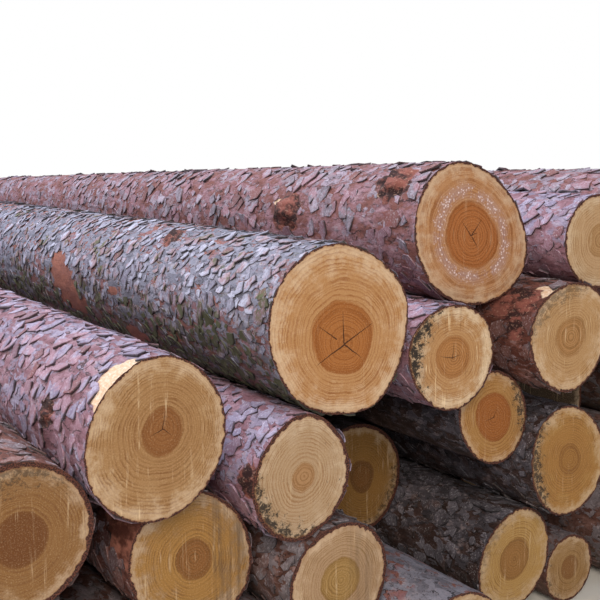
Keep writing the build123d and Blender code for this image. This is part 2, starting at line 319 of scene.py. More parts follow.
# Cross-cut pine, chain-sawn and left to dry. The eye gets yearly rings, a
# darker resinous heart, drying cracks from the pith and faint saw lines.
def end_grain(
    name, sap, dry, heart, ring, radius_mm=105, ring_mm=5.2, heart_share=0.42, saw=0.35, saw_deg=70.0, mould=0.0,
    mould_deg=200.0, resin=0.0, stain=0.0, rim_mm=5.0, cracks=(), crack_mm=1.3, seed=0.0,
):
    material, made, shader = new_material(name)
    plane = made.add("ShaderNodeUVMap", {"uv_map": "grain"}).outputs[0]
    centre = made.vector("ADD", plane, (seed, seed * 1.7, 0))
    rim, share = made.read("rim"), made.read("share")
    wobble = made.noise(centre, 14.0, 3.0, 0.55)
    patchy = made.noise(centre, 19.0, 4.0, 0.65)
    clouds = made.noise(centre, 31.0, 5.0, 0.7)
    jitter = made.noise(centre, 95.0, 3.0)
    fibres = made.noise(centre, 430.0, 3.0, 0.7)
    # Rings are round near the pith and follow the log's outline near the bark
    outer = made.times(made.times(share, share), radius_mm * MM)
    inner = made.times(made.vector("LENGTH", plane, out="Value"), made.minus(1.0, share))
    bent = made.total(made.calc("ADD", inner, outer), (wobble, 0.016), (jitter, 0.0026))
    spread = made.add(
        "ShaderNodeTexNoise",
        {"noise_dimensions": "1D"},
        {"W": made.calc("ADD", bent, seed), "Scale": 60.0, "Detail": 2.0},
    ).outputs["Fac"]
    year = made.calc("FRACT", made.total(made.times(bent, 1 / (ring_mm * MM)), (spread, 2.6)))
    late = made.times(made.fade(year, 0.35, 0.85), made.fade_out(year, 0.88, 1.0))
    # Sapwood with paler dry patches, more of them towards the bark
    dryness = made.total(made.times(share, 0.45), (clouds, 0.9))
    wood = made.blend(made.fade(dryness, 0.68, 0.98), sap, dry)
    # The heart, with a deeper band where it ends
    heart_edge = made.total(share, (jitter, 0.03), (wobble, 0.10))
    in_heart = made.fade_out(heart_edge, heart_share + 0.035, heart_share + 0.085)
    wood = made.blend(made.times(in_heart, 0.88), wood, heart)
    band = made.times(in_heart, made.fade(heart_edge, heart_share - 0.06, heart_share + 0.06))
    wood = made.blend(made.times(band, 0.45), wood, ring)
    # Yearly rings, stronger in patches and in the heart
    strength = made.total(0.16, (made.fade(patchy, 0.35, 0.65), 0.62))
    strength = made.calc("MULTIPLY_ADD", in_heart, 0.35, strength, clamp=True)
    wood = made.blend(made.times(late, strength), wood, ring)
    # Bleached patches towards the bark
    bleached = made.fade(made.total(share, (clouds, 0.9)), 1.18, 1.5)
    wood = made.blend(made.times(bleached, 0.5), wood, BLEACHED)
    # Torn fibres, a fine salt and pepper grain
    wood = made.blend(made.times(made.fade(fibres, 0.5, 0.75), 0.24), wood, FIBRE_LIGHT)
    wood = made.blend(made.times(made.fade(made.minus(1.0, fibres), 0.5, 0.75), 0.32), wood, FIBRE_DARK)
    # Saw lines, broken up into patches
    turned = made.mapped(centre, Rotation=(0, 0, math.radians(saw_deg)), Scale=(1, 0.05, 1))
    lines = made.noise(turned, 120.0, 4.0, 0.75)
    broken = made.times(made.fade(patchy, 0.4, 0.6), saw)
    wood = made.blend(made.times(made.fade(lines, 0.56, 0.68), broken), wood, SAW_LIGHT)
    dark_lines = made.fade(made.minus(1.0, lines), 0.55, 0.72)
    wood = made.blend(made.times(dark_lines, made.times(broken, 0.8)), wood, SAW_DARK)
    if stain:
        # Dark stripes left by a wet, dirty saw
        right = made.fade(made.axes(centre)[0], seed - 0.03, seed + 0.04)
        stripe = made.times(made.fade(made.noise(turned, 34.0, 4.0, 0.65), 0.46, 0.64), right)
        stripe = made.times(stripe, made.fade(clouds, 0.2, 0.6))
        wood = made.blend(made.times(stripe, stain), wood, SAW_STAIN)
    if resin:
        from_heart = made.fade(heart_edge, heart_share + 0.05, heart_share + 0.2)
        where = made.times(from_heart, made.fade_out(heart_edge, 0.66, 0.82))
        wood = resin_beads(made, wood, centre, made.times(where, made.fade(clouds, 0.36, 0.54)), resin)
    if mould:
        way = math.radians(mould_deg)
        side = made.vector("DOT_PRODUCT", plane, (math.cos(way), math.sin(way), 0), out="Value")
        side = made.total(made.times(share, 0.5), (side, 0.75 / (radius_mm * MM)), (wobble, 0.5))
        wood = mould_specks(made, wood, centre, made.fade(side, 0.75, 1.45), mould)
    if cracks:
        bent_face = made.vector("MULTIPLY_ADD", jitter.node.outputs["Color"], (0.003, 0.003, 0), plane)
        opened = drying_cracks(made, bent_face, cracks, crack_mm)
        wood = made.blend(made.times(opened, 0.9), wood, CRACK_SHADE)
    # Ragged bark edge round the wood
    frayed = made.total(rim, (made.minus(jitter, 0.5), -0.010), (made.minus(clouds, 0.5), -0.012))
    at_bark = made.fade_out(frayed, (rim_mm - 1.4) * MM, (rim_mm + 0.2) * MM)
    bast = made.fade_out(frayed, rim_mm * MM, (rim_mm + 4.0) * MM)
    wood = made.blend(made.times(bast, 0.35), wood, RIM_BAST)
    crumbs = made.blend(made.fade(fibres, 0.42, 0.62), CRUMB_DARK, CRUMB_RED)
    wood = made.blend(at_bark, wood, crumbs)
    hollows = ((opened, -2.0), (at_bark, -1.5)) if cracks else ((at_bark, -1.5),)
    relief = made.total(made.times(lines, 0.6), (fibres, 0.5), (late, 0.15), *hollows)
    made.finish(shader, wood, 0.8, 0.25, relief, 0.6, 0.0012)
    return material


# Loose plates of the same bark. The eye gets thin flat grey-lilac scales with a dark broken edge, which is painted
# shade, pink where newer bark shows, a few turned rusty; the underside of the stem gets painted shade too.
def flake_skin(name, light, shade, pink, rust, edge, pink_share=0.3, rust_share=0.1, lichen=0.0):
    material, made, shader = new_material(name)
    place = made.add("ShaderNodeTexCoord").outputs["Object"]
    chance, painted_lit_share, underside = (made.read(key) for key in ("chance", "painted_lit_share", "underside"))
    fine = made.noise(place, 230.0, 5.0, 0.7)
    middle = made.noise(place, 60.0, 4.0, 0.6)
    broad = made.noise(place, 13.0, 4.0, 0.6)
    # Each plate has its own tone, and each region of the stem its own colour
    tone = made.total(made.times(chance, 0.45), (middle, 1.5))
    colour = made.blend(made.fade(tone, 0.65, 1.3), shade, light)
    region = made.total(made.times(middle, 0.7), (broad, 2.4), (chance, 0.15), (underside, 0.5))
    is_pink = made.fade(region, 2.12 - pink_share, 2.36 - pink_share)
    colour = made.blend(made.times(is_pink, 0.85), colour, pink)
    is_rust = made.fade_out(chance, rust_share - 0.03, rust_share + 0.03)
    colour = made.blend(made.times(is_rust, 0.8), colour, rust)
    colour = made.blend(made.times(made.fade(fine, 0.5, 0.66), 0.6), colour, rust)
    colour = made.blend(made.times(made.fade_out(fine, 0.34, 0.46), 0.5), colour, CHALK)
    if lichen:
        grown = made.total(made.times(broad, 1.25), (underside, 0.42), (middle, 0.55))
        colour = made.blend(made.times(made.fade(grown, 0.95, 1.12), lichen), colour, PLATE_LICHEN)
    # Painted shade on the underside of the stem
    colour = made.blend(made.times(underside, 0.45), colour, edge)
    # Painted shade on each plate's walls and on its top towards the free edge
    colour = made.blend(made.times(made.fade_out(painted_lit_share, 0.2, 0.85), 0.95), colour, edge)
    made.finish(shader, colour, 0.7, 0.45, made.total(fine, (middle, 0.8)), 0.7, 0.002)
    return material


# Repeatable random number between 0 and 1 for whole-number grid places
def hashed(i, j, salt):
    value = np.sin(i * 127.1 + j * 311.7 + salt * 74.7) * 43758.5453
    return value - np.floor(value)


# Smooth noise on a grid that closes on itself every `period` cells of u
def soft_noise(u, v, period, salt):
    iu, iv = np.floor(u), np.floor(v)
    fu, fv = u - iu, v - iv
    fu, fv = fu * fu * (3 - 2 * fu), fv * fv * (3 - 2 * fv)
    a, b = np.mod(iu, period), np.mod(iu + 1, period)
    low = hashed(a, iv, salt) * (1 - fu) + hashed(b, iv, salt) * fu
    high = hashed(a, iv + 1, salt) * (1 - fu) + hashed(b, iv + 1, salt) * fu
    return low * (1 - fv) + high * fv


# Plates: for each place the nearest cell, its margin to the next one and a tilt
def plates(u, v, period, salt):
    iu, iv = np.floor(u), np.floor(v)
    first = np.full(u.shape, 9.0)
    second = np.full(u.shape, 9.0)
    tone = np.zeros(u.shape)
    tilt = np.zeros(u.shape)
    for du in (-1, 0, 1):
        for dv in (-1, 0, 1):
            cu, cv = iu + du, iv + dv
            key = np.mod(cu, period)
            pu = cu + 0.15 + 0.7 * hashed(key, cv, salt)
            pv = cv + 0.15 + 0.7 * hashed(key, cv, salt + 1)
            away = np.hypot(u - pu, v - pv)
            nearer = away < first
            second = np.where(nearer, first, np.minimum(second, away))
            mark = hashed(key, cv, salt + 2)
            lean = (u - pu) * (mark - 0.2) * 1.2 - (v - pv) * (0.4 + hashed(key, cv, salt + 3))
            tone = np.where(nearer, mark, tone)
            tilt = np.where(nearer, lean, tilt)
            first = np.where(nearer, away, first)
    return second - first, tone, tilt


# Ring of the CAD log: its radius in each direction round a given heart
def ring_radii(tree, heart, y, angles):
    found = np.zeros(len(angles))
    for k, a in enumerate(angles):
        way = Vector((math.cos(a), 0, math.sin(a)))
        start = Vector((heart[0], y, heart[1])) + way * RAY_LENGTH
        hit = tree.ray_cast(start, -way, RAY_LENGTH)
        found[k] = RAY_LENGTH - hit[3] if hit[0] is not None else np.nan
    good = ~np.isnan(found)
    return np.interp(np.arange(len(angles)), np.flatnonzero(good), found[good])


# Plane of a sawn end as y = base + slope_x * x + slope_z * z
def sawn_plane(tree, heart, start_y, way_y):
    rows, values = [], []
    for dx, dz in ((0, 0), (PLANE_STEP, 0), (-PLANE_STEP, 0), (0, PLANE_STEP), (0, -PLANE_STEP)):
        hit = tree.ray_cast(Vector((heart[0] + dx, start_y, heart[1] + dz)), Vector((0, way_y, 0)))[0]
        rows.append((1, hit.x, hit.z))
        values.append(hit.y)
    return np.linalg.lstsq(np.array(rows), np.array(values), rcond=None)[0]


def on_plane(plane, x, z):
    return plane[0] + plane[1] * x + plane[2] * z


class Measured:
    """What the CAD says about one log: its heart line, sawn planes and radii."""

    def __init__(self, name, stations):
        node = frame["nodes"][name]
        low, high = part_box(name)
        self.start, self.length = low.y, high.y - low.y
        bvh = BVHTree.FromObject(node, bpy.context.evaluated_depsgraph_get())
        co = np.array([v.co for v in node.data.vertices])
        ends = (co[co[:, 1] < low.y + END_SLICE], co[co[:, 1] > high.y - END_SLICE])
        self.hearts = [(end[:, [0, 2]].max(0) + end[:, [0, 2]].min(0)) / 2 for end in ends]
        self.face = sawn_plane(bvh, self.hearts[0], low.y - START_OUTSIDE, 1)
        self.rear = sawn_plane(bvh, self.hearts[1], high.y + START_OUTSIDE, -1)
        ring = np.linspace(0, 2 * np.pi, STATION_ANGLES, endpoint=False)
        self.ring_y = [low.y + s for s in sorted(STATIONS + stations) if s < self.length - LAST_STATION]
        self.radii = np.array([ring_radii(bvh, self.heart_at(y)[:, 0], y, ring) for y in self.ring_y])

    def heart_at(self, y):
        t = (y - self.start) / self.length
        return self.hearts[0][:, None] * (1 - t) + self.hearts[1][:, None] * t

    # Radius in each direction at each length, between the measured rings
    def radius_at(self, angles, y):
        spot = np.mod(angles / (2 * np.pi) * STATION_ANGLES, STATION_ANGLES).ravel()
        k = np.floor(spot).astype(int) % STATION_ANGLES
        f = spot - np.floor(spot)
        f = f * f * (3 - 2 * f) * 0.35 + f * 0.65
        line = np.array([np.interp(y.ravel(), self.ring_y, self.radii[:, q]) for q in range(STATION_ANGLES)])
        picks = np.arange(y.size)
        value = line[k, picks] * (1 - f) + line[(k + 1) % STATION_ANGLES, picks] * f
        return value.reshape(angles.shape)


# Directions round the stem, closer together on the side that the photo shows
def column_angles(columns, side):
    even = np.linspace(0, 2 * np.pi, 2001)
    weight = 1 + side * np.clip(np.cos(even - PHOTO_SIDE), 0, 1) ** 0.7
    total = np.concatenate([[0], np.cumsum((weight[1:] + weight[:-1]) / 2)])
    return np.interp(np.arange(columns) / columns * total[-1], total, even)


# Depth of the bark in a grid that closes on itself round the stem: large
# plates, small scales on them, then the knots, peeled bark and bare wood.
# `turn` goes from 0 to 1 round the stem, `behind` counts from the face
def bark_relief(look, turn, y, behind, mean_radius):
    salt = look["seed"]
    plate_size, scale_size = look["plate_mm"] * MM, look["scale_mm"] * MM
    depth, lift = look["depth_mm"] * MM, look["lift_mm"] * MM
    girth = 2 * np.pi * mean_radius
    many = max(8, round(girth / plate_size))
    small = max(16, round(girth / scale_size))
    wide = max(6, round(girth / WARP_WIDTH))
    bend_u = soft_noise(turn * wide, y / WARP_LENGTH, wide, salt + 10) - 0.5
    bend_v = soft_noise(turn * wide, y / WARP_LENGTH, wide, salt + 11) - 0.5
    margin, tone, _ = plates(turn * many + bend_u * 0.55, y / (plate_size * 1.7) + bend_v * 0.55, many, salt)
    s_margin, s_tone, s_tilt = plates(
        turn * small + bend_u * 1.1, y / (scale_size * 1.5) + bend_v * 1.1, small, salt + 20
    )
    rough = soft_noise(turn * small * 3, y / (scale_size * 0.5), small * 3, salt + 30)
    missing = soft_noise(turn * 5, y / 0.16, 5, salt + 40)
    plate = np.clip(margin / 0.22, 0, 1)
    scale = np.clip(s_margin / 0.2, 0, 1)
    relief = -depth * (1 - plate) ** 1.6 + lift * (0.55 * scale + 0.8 * s_tilt + 0.35 * rough - 0.7)
    relief += np.where((s_tone > 0.72) & (missing > 0.4), -0.8 * lift, 0)
    relief = np.clip(relief, -depth - 1.5 * lift, 1.6 * lift)

    scars = {kind: np.zeros(y.shape) for kind in ("knot", "peeled", "bare")}
    ragged = 0.75 + 0.5 * soft_noise(turn * wide * 2, y / 0.018, wide * 2, salt + 50)
    for kind, along_mm, around_deg, half_length, half_width in look["scars"]:
        beside = np.angle(np.exp(1j * (turn * 2 * np.pi - math.radians(around_deg)))) * mean_radius
        away = np.hypot((behind - along_mm * MM) / half_length, beside / half_width) / MM
        scars[kind] = np.maximum(scars[kind], np.clip(2.2 - 1.6 * away * ragged, 0, 1))
    torn = soft_noise(turn * small * 2, y / 0.007, small * 2, salt + 60) - 0.35
    relief = relief * (1 - scars["peeled"] * 0.7) + scars["knot"] * torn * look["knot_mm"] * MM
    tones = {"height": np.clip(plate * 0.7 + scale * 0.3, 0, 1), "tone": 0.6 * tone + 0.4 * s_tone}
    return relief, scars, tones


class Parts:
    """Points, faces and point values of one stem, until its mesh is made."""

    def __init__(self):
        self.points, self.grain, self.quads, self.triangles = [], [], [], []
        self.values = {key: [] for key in POINT_VALUES}
        self.count = 0

    # Adds points and their places on the sawn face; a value not given is 0
    def add_points(self, x, y, z, grain, **values):
        self.points.append(np.stack([x, y, z], -1))
        self.grain.append(grain)
        for key, parts in self.values.items():
            parts.append(values.get(key, np.zeros(len(x))))
        self.count += len(x)
        return np.arange(self.count - len(x), self.count)

    # Joins two rings of points, or a centre and its first ring
    def join(self, inner, outer, turned):
        if len(inner) == 1:
            faces, kept = [np.full(len(outer), inner[0]), outer, np.roll(outer, -1)], self.triangles
        else:
            faces, kept = [inner, outer, np.roll(outer, -1), np.roll(inner, -1)], self.quads
        kept.append(np.stack(faces[::-1] if turned else faces, -1))

    # The first `bark_faces` faces are bark and smooth, the others sawn and flat
    def make(self, name, bark_faces, materials):
        mesh = bpy.data.meshes.new(name)
        faces = np.concatenate(self.quads).tolist() + np.concatenate(self.triangles).tolist()
        mesh.from_pydata(np.concatenate(self.points).tolist(), [], faces)
        for key, parts in self.values.items():
            layer = mesh.attributes.new(key, "FLOAT", "POINT")
            layer.data.foreach_set("value", np.concatenate(parts).astype(np.float32))
        layer = mesh.uv_layers.new(name="grain")
        loops = np.zeros(len(mesh.loops), int)
        mesh.loops.foreach_get("vertex_index", loops)
        layer.data.foreach_set("uv", np.concatenate(self.grain)[loops].astype(np.float32).ravel())
        for material in materials:
            mesh.materials.append(material)
        is_bark = np.arange(len(mesh.polygons)) < bark_faces
        mesh.polygons.foreach_set("material_index", np.where(is_bark, 0, 1).astype(np.int32))
        mesh.polygons.foreach_set("use_smooth", is_bark)
        mesh.update()
        made = bpy.data.objects.new(name, mesh)
        bpy.context.scene.collection.objects.link(made)
        return made


# One sawn face in rings from the pith outwards. Its last ring is a copy of the
# stem's end row, which keeps the face's own coordinates
def add_sawn_face(parts, plane, centre, edge, turned):
    reach = np.hypot(*(edge - centre).T)
    previous = None
    for share in FACE_RINGS:
        if share == 0:
            spots, to_rim = centre[None], np.array([reach.mean()])
        else:
            spots = edge if share == 1 else centre + (edge - centre) * share
            to_rim = reach * (1 - share)
        x, z = spots[:, 0], spots[:, 1]
        shares = np.full(len(spots), share)
        ring = parts.add_points(x, on_plane(plane, x, z), z, spots - centre, rim=to_rim, share=shares)
        if previous is not None:
            parts.join(previous, ring, turned)
        previous = ring


# The visible stem of one log, with its bark in relief, built over its CAD node
def dress(name, look):
    log = Measured(name, look["stations"])
    # Rows are closer together near the face
    rising = np.exp(np.linspace(0, 1, look["rows"]) * look["stretch"]) - 1
    along = rising / (np.exp(look["stretch"]) - 1)
    a_grid, t_grid = np.meshgrid(column_angles(look["columns"], look["side"]), along)
    y_grid = log.start + t_grid * log.length
    radius = log.radius_at(a_grid, y_grid)
    mean = float(radius.mean())
    hx, hz = (part.reshape(y_grid.shape) for part in log.heart_at(y_grid.ravel()))
    # Both ends are cut by the sawn planes
    x_out, z_out = hx + radius * np.cos(a_grid), hz + radius * np.sin(a_grid)
    y_face, y_rear = on_plane(log.face, x_out, z_out), on_plane(log.rear, x_out, z_out)
    y_grid = y_face + (y_rear - y_face) * t_grid
    radius = log.radius_at(a_grid, y_grid)

    # The relief gets shallow at the ends, and only knots pass the CAD surface
    turn = a_grid / (2 * np.pi)
    relief, scars, tones = bark_relief(look, turn, y_grid, y_grid - log.start, mean)
    from_end = np.minimum(t_grid, 1 - t_grid) * log.length
    rough_radius = radius - BARK_SINK + relief * np.clip(0.55 + from_end / 0.02, 0, 1)
    rough_radius = np.minimum(rough_radius, radius - BARK_BELOW_CAD + scars["knot"] * look["knot_mm"] * 0.6 * MM)
    x, z = hx + rough_radius * np.cos(a_grid), hz + rough_radius * np.sin(a_grid)
    # The end rows follow their sawn planes exactly
    y_grid[0] = on_plane(log.face, x[0], z[0])
    y_grid[-1] = on_plane(log.rear, x[-1], z[-1])

    # What the materials and the plates read at each point of the bark
    covered = np.clip(scars["knot"] + scars["peeled"] + scars["bare"], 0, 1)
    values = {
        **tones,
        **scars,
        "underside": np.clip(-np.sin(a_grid) * 0.8 + 0.2, 0, 1),
        "scaly": (1 - covered) * cover_near(turn, t_grid * log.length),
        "share": np.ones(y_grid.shape),
    }
    flat = {key: value.ravel() for key, value in values.items()}
    parts = Parts()
    spots = parts.add_points(x.ravel(), y_grid.ravel(), z.ravel(), np.zeros((y_grid.size, 2)), **flat)
    corner = spots.reshape(y_grid.shape)
    nxt = np.roll(corner, -1, axis=1)
    bark_quads = np.stack([corner[:-1], corner[1:], nxt[1:], nxt[:-1]], -1).reshape(-1, 4)
    parts.quads.append(bark_quads)
    for row, plane, turned in ((0, log.face, False), (-1, log.rear, True)):
        centre = np.array([hx[row, 0] + look["pith"][0] * mean, hz[row, 0] + look["pith"][1] * mean])
        add_sawn_face(parts, plane, centre, np.stack([x[row], z[row]], -1), turned)
    return parts.make(name + "_stem", len(bark_quads), (look["bark"], look["wood"])), log.face, log.rear


# One loose bark plate of unit length: a flat sheet with a torn outline. Its point values carry painted shade: dark on
# its walls, and on its top towards the free edge
def flake_shape(number):
    k = np.arange(FLAKE_CORNERS)
    turn = 2 * np.pi * (k + 0.8 * hashed(k, number, 3.0)) / FLAKE_CORNERS
    reach = 0.27 + 0.25 * hashed(k, number, 5.0)
    x, y = 1.18 * reach * np.cos(turn), 0.76 * reach * np.sin(turn)
    curl = 0.01 + 0.025 * hashed(number, 1, 6.0)
    z = 0.012 + curl * (x * 2) ** 2 + 0.008 * hashed(k, number, 7.0)
    top = np.stack([x, y, z], -1)
    foot = np.stack([x * 0.97, y * 0.97, np.full(FLAKE_CORNERS, FLAKE_FOOT)], -1)
    free = np.clip(0.5 - 1.6 * np.cos(turn + 0.6), 0, 1)
    ring = range(1, FLAKE_CORNERS + 1)
    nxt = {i: i % FLAKE_CORNERS + 1 for i in ring}
    faces = [(0, i, nxt[i]) for i in ring]
    faces += [(i, i + FLAKE_CORNERS, nxt[i] + FLAKE_CORNERS, nxt[i]) for i in ring]
    mesh = bpy.data.meshes.new(f"flake_{number}")
    mesh.from_pydata(np.concatenate([[[0, 0, FLAKE_CENTRE]], top, foot]).tolist(), [], faces)
    painted_lit_share = mesh.attributes.new("painted_lit_share", "FLOAT", "POINT")
    shades = np.concatenate([[1.0], 1 - 0.42 * free, 0.75 - 0.75 * free])
    painted_lit_share.data.foreach_set("value", shades.astype(np.float32))
    return bpy.data.objects.new(f"flake_{number}", mesh)


# Scatters plates over the scaly parts of a stem, their length along the log
def flake_scatter():
    tree = bpy.data.node_groups.new("bark_flakes", "GeometryNodeTree")
    kinds = {"Stem": "Geometry", "Flakes": "Collection", "Skin": "Material", "Seed": "Int"}
    names = ("Stem", "Flakes", "Skin", "Spacing", "Density", "Shortest", "Longest", "Turn", "Least", "Lift", "Seed")
    sockets = {}
    for name in names:
        kind = "NodeSocket" + kinds.get(name, "Float")
        sockets[name] = tree.interface.new_socket(name=name, in_out="INPUT", socket_type=kind).identifier
    tree.interface.new_socket(name="Flakes laid", in_out="OUTPUT", socket_type="NodeSocketGeometry")
    made = Recipe(tree)
    given = made.add("NodeGroupInput").outputs
    scaly = made.add("GeometryNodeInputNamedAttribute", {"data_type": "FLOAT"}, {"Name": "scaly"}).outputs[0]
    points = made.add("GeometryNodeDistributePointsOnFaces", {"distribute_method": "POISSON"}, {
        "Mesh": given["Stem"], "Distance Min": given["Spacing"], "Density Max": given["Density"],
        "Density Factor": scaly, "Seed": given["Seed"],
    }).outputs

    def chance_between(low, high, salt, kind="FLOAT"):
        node = made.add("FunctionNodeRandomValue", {"data_type": kind})
        node.inputs["Seed"].default_value = salt
        sides = [i for i in node.inputs if i.enabled and i.name in ("Min", "Max")]
        for side, value in zip(sides, (low, high)):
            made.put(side, value)
        return next(o for o in node.outputs if o.enabled)

    # Keeps one random or measured value with every plate, for its material
    def marked(geometry, name, value):
        settings = {"data_type": "FLOAT", "domain": "INSTANCE"}
        inputs = {"Geometry": geometry, "Name": name, "Value": value}
        return made.add("GeometryNodeStoreNamedAttribute", settings, inputs).outputs[0]

    # Flat on the bark and along the log, then turned, lifted and tipped a bit
    align = "FunctionNodeAlignRotationToVector"
    upright = made.add(align, {"axis": "Z"}, {"Vector": points["Normal"]}).outputs[0]
    inputs = {"Rotation": upright, "Vector": (0.0, 1.0, 0.0)}
    lengthwise = made.add(align, {"axis": "X", "pivot_axis": "Z"}, inputs).outputs[0]
    turn = chance_between(made.times(given["Turn"], -1.0), given["Turn"], 11)
    lean = chance_between(given["Least"], given["Lift"], 12)
    tip = chance_between(made.times(given["Lift"], -1.0), given["Lift"], 13)
    angles = made.add("ShaderNodeCombineXYZ", inputs={"X": tip, "Y": lean, "Z": turn}).outputs[0]
    by_hand = made.add("FunctionNodeEulerToRotation", inputs={0: angles}).outputs[0]
    inputs = {"Rotation": lengthwise, "Rotate By": by_hand}
    laid = made.add("FunctionNodeRotateRotation", {"rotation_space": "LOCAL"}, inputs).outputs[0]
    inputs = {"Collection": given["Flakes"], "Separate Children": True, "Reset Children": True}
    flakes = made.add("GeometryNodeInstanceOnPoints", inputs={
        "Points": points["Points"], "Instance": made.add("GeometryNodeCollectionInfo", inputs=inputs).outputs[0],
        "Pick Instance": True, "Instance Index": chance_between(0, FLAKE_SHAPES - 1, 15, "INT"),
        "Rotation": laid, "Scale": chance_between(given["Shortest"], given["Longest"], 14),
    }).outputs[0]
    flakes = marked(flakes, "chance", chance_between(0.0, 1.0, 16))
    below = made.calc("MULTIPLY_ADD", made.axes(points["Normal"])[2], -0.8, 0.2, clamp=True)
    flakes = marked(flakes, "underside", below)
    real = made.add("GeometryNodeRealizeInstances", inputs={"Geometry": flakes}).outputs[0]
    skinned = made.add("GeometryNodeSetMaterial", inputs={"Geometry": real, "Material": given["Skin"]}).outputs[0]
    made.add("NodeGroupOutput", inputs={0: skinned})
    return tree, sockets


# Lays the plates of one stem, cuts them where the saw cut the log, and keeps
# them as a plain mesh inside the CAD box
def lay_flakes(stem, face, rear, name, skin, spacing_mm, shortest_mm, longest_mm, lift_deg, turn_deg, seed):
    laid = bpy.data.objects.new(name + "_flakes", stem.data)
    bpy.context.scene.collection.objects.link(laid)
    scatter = laid.modifiers.new("flakes", "NODES")
    scatter.node_group = scatter_tree
    values = {
        "Flakes": flake_box,
        "Skin": skin,
        "Spacing": spacing_mm * MM,
        "Density": FLAKES_PER_SPACING / (spacing_mm * MM) ** 2,
        "Shortest": shortest_mm * MM,
        "Longest": longest_mm * MM,
        "Turn": math.radians(turn_deg),
        "Least": math.radians(lift_deg * 0.3),
        "Lift": math.radians(lift_deg),
        "Seed": seed,
    }
    for key, value in values.items():
        scatter[scatter_inputs[key]] = value
    laid.update_tag()
    bpy.context.view_layer.update()
    mesh = bpy.data.meshes.new_from_object(laid.evaluated_get(bpy.context.evaluated_depsgraph_get()))
    laid.modifiers.clear()
    laid.data = mesh
    mesh.name = name + "_flakes"
    spots = np.zeros(len(mesh.vertices) * 3, np.float32)
    mesh.vertices.foreach_get("co", spots)
    kept = np.clip(spots.reshape(-1, 3), np.array(cad_box[0]) + FLAKE_IN_BOX, np.array(cad_box[1]) - FLAKE_IN_BOX)
    first = on_plane(face, kept[:, 0], kept[:, 2]) + FLAKE_IN_CUT
    last = on_plane(rear, kept[:, 0], kept[:, 2]) - FLAKE_IN_CUT
    kept[:, 1] = np.clip(kept[:, 1], first, last)
    mesh.vertices.foreach_set("co", kept.astype(np.float32).ravel())
    mesh.polygons.foreach_set("use_smooth", np.zeros(len(mesh.polygons), bool))
    mesh.update()
    return laid


# Share of the plates that stay on, over the turn and the distance behind the
# face: dense where the photo looks, thinner on the far side and the rear
def cover_near(turn, behind):
    side = 0.55 + 0.45 * np.clip(np.cos(2 * np.pi * turn - PHOTO_SIDE) * 1.5 + 0.6, 0, 1)
    return side * np.interp(behind, (0.0, 1.4, 2.6, 4.0), (1.0, 0.9, 0.45, 0.3))


# Finishes seen in the photo, from the red upper stems to the grey lower ones.
# Colours of the bark: scale, its shade, layer below, rust and crack, which also paints the shadow lines and the shade
# in the hollows; colours of the loose plates: light, shade, pink, rust and edge, the colour of their painted shade
FINISHES = {
    "red": (
        "#a898a8 #84747f #9c7680 #7c4e48 #281a1c", dict(grey=0.3, flake_mm=16, seed=1.3),
        "#ac9faf #736b77 #9e7480 #7c443c #1c1317", dict(pink_share=0.52, rust_share=0.08),
    ),
    "slate": (
        "#9898aa #706f7e #94707a #8c5a50 #1a161a", dict(lichen=0.8, grey=0.85, flake_mm=14, seed=4.1),
        "#bcbdd2 #7a788c #a27c86 #70403a #100d12", dict(pink_share=0.52, rust_share=0.04, lichen=0.92),
    ),
    "pink": (
        "#a89eb6 #867a90 #a4808e #845c66 #281a1c", dict(grey=0.4, flake_mm=16, seed=7.7),
        "#b2a8c2 #857b96 #a67c8a #7e4c4c #1a1015", dict(pink_share=0.55, rust_share=0.07),
    ),
    # A darker copy of the grey bark and its plates for the logs that lie in shade: the bark's own grey with painted
    # shade on top
    "dark_painted_shade": (
        "#5e5962 #38343a #4a3836 #32201c #0d0b0d", dict(grey=0.7, flake_mm=14, seed=9.2),
        "#726e7a #403c44 #584442 #3a2622 #0f0c0e", dict(pink_share=0.25, rust_share=0.1),
    ),
    "rust": (
        "#84747a #604e52 #7a4c42 #562c22 #181010", dict(grey=0.2, flake_mm=17, seed=3.4),
        "#90828a #68565b #84564c #5c3026 #1a1112", dict(pink_share=0.5, rust_share=0.15),
    ),
    "plain": (
        "#8c8288 #665c60 #7c5a52 #583830 #1a1415", dict(lichen=0.3, grey=0.6, flake_mm=18, seed=12.6),
        "#989098 #6c646a #80605a #5a3a32 #1d1617", dict(pink_share=0.35, rust_share=0.1),
    ),
}
BARKS = {name: bark("pine_bark_" + name, *row[0].split(), **row[1]) for name, row in FINISHES.items()}
SKINS = {name: flake_skin("pine_flakes_" + name, *row[2].split(), **row[3]) for name, row in FINISHES.items()}

